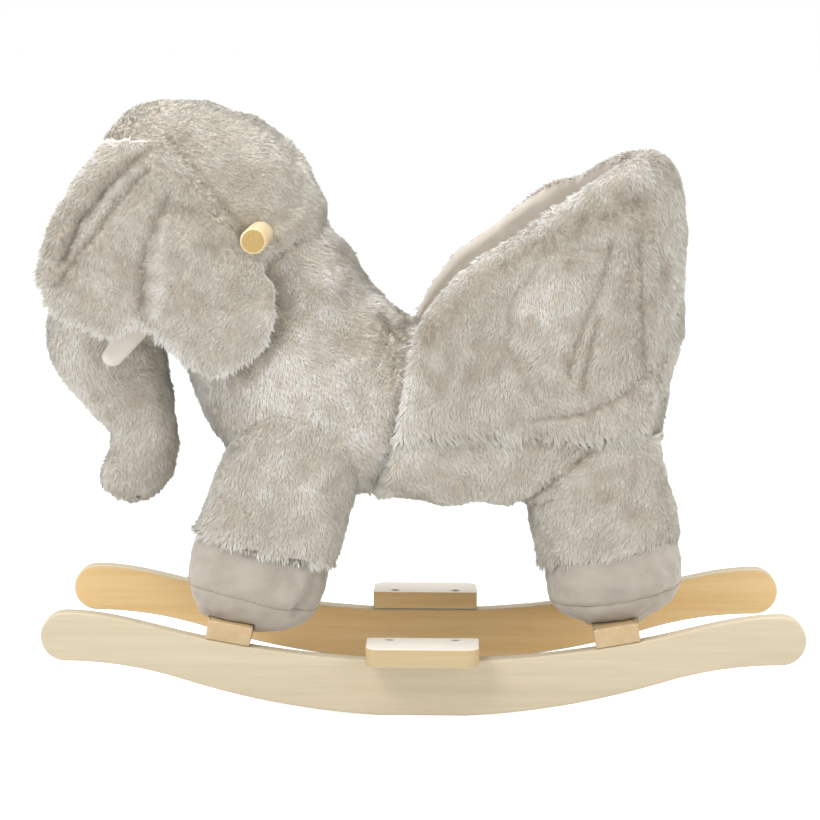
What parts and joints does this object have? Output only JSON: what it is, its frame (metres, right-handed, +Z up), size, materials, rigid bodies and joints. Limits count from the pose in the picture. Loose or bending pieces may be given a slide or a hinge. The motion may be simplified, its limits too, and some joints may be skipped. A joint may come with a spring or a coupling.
{
  "type": "rocking elephant",
  "caption": "Plush rocking elephant with a bucket seat, liftable ears, wooden rockers, footrests and a dowel handle through the head, for a toddler.",
  "frame": {"origin": "on the floor, under the middle of the two rockers", "axes": "+X from the trunk towards the back of the seat, +Y to the elephant's right, +Z up"},
  "size_m": [0.72, 0.33, 0.577],
  "materials": {
    "fur": "matte",
    "short_pile": "matte",
    "lining": "matte",
    "tusk_cloth": "matte",
    "pale_wood": "satin",
    "dowel_wood": "satin",
    "frame_wood": "matte",
    "steel": "satin",
    "eye_plastic": "gloss"
  },
  "bodies": {
    "elephant": {"rocker_left": "pale_wood", "rocker_right": "pale_wood", "crossbar_front": "pale_wood", "crossbar_rear": "pale_wood", "footrest_left": "pale_wood", "footrest_right": "pale_wood", "handle_dowel": "dowel_wood", "footrest_screw_left_1": "steel", "footrest_screw_left_2": "steel", "footrest_screw_right_1": "steel", "footrest_screw_right_2": "steel", "crossbar_screw_front_left": "steel", "crossbar_screw_front_right": "steel", "crossbar_screw_rear_left": "steel", "crossbar_screw_rear_right": "steel", "leg_bolt_front_left": "steel", "leg_bolt_front_right": "steel", "leg_bolt_rear_left": "steel", "leg_bolt_rear_right": "steel", "leg_insert_front_left": "steel", "leg_insert_front_right": "steel", "leg_insert_rear_left": "steel", "leg_insert_rear_right": "steel", "leg_post_front_left": "frame_wood", "leg_post_front_right": "frame_wood", "leg_post_rear_left": "frame_wood", "leg_post_rear_right": "frame_wood", "base_board": "frame_wood", "back_board": "frame_wood", "neck_board": "frame_wood", "wing_board_left": "frame_wood", "wing_board_right": "frame_wood", "chest_plush": "fur", "head_plush": "fur", "trunk_plush": "fur", "tusk_left": "tusk_cloth", "tusk_right": "tusk_cloth", "eye_left": "eye_plastic", "eye_right": "eye_plastic", "seat_underbody_plush": "fur", "seat_wing_left": "fur", "seat_wing_right": "fur", "seat_back": "fur", "seat_cushion": "lining", "front_leg_left": "fur", "front_leg_right": "fur", "rear_leg_left": "fur", "rear_leg_right": "fur", "front_foot_left": "short_pile", "front_foot_right": "short_pile", "rear_foot_left": "short_pile", "rear_foot_right": "short_pile"},
    "left_ear": {"ear_left": "fur"},
    "right_ear": {"ear_right": "fur"}
  },
  "joints": [
    {"name": "left_ear_flap", "type": "hinge", "parent": "elephant", "child": "left_ear", "pos_m": [-0.24464, -0.091, 0.53558], "axis": [-0.6324, 0, 0.7746], "range_deg": [0, 45]},
    {"name": "right_ear_flap", "type": "hinge", "parent": "elephant", "child": "right_ear", "pos_m": [-0.24464, 0.091, 0.53558], "axis": [0.6324, 0, -0.7746], "range_deg": [0, 45]}
  ]
}
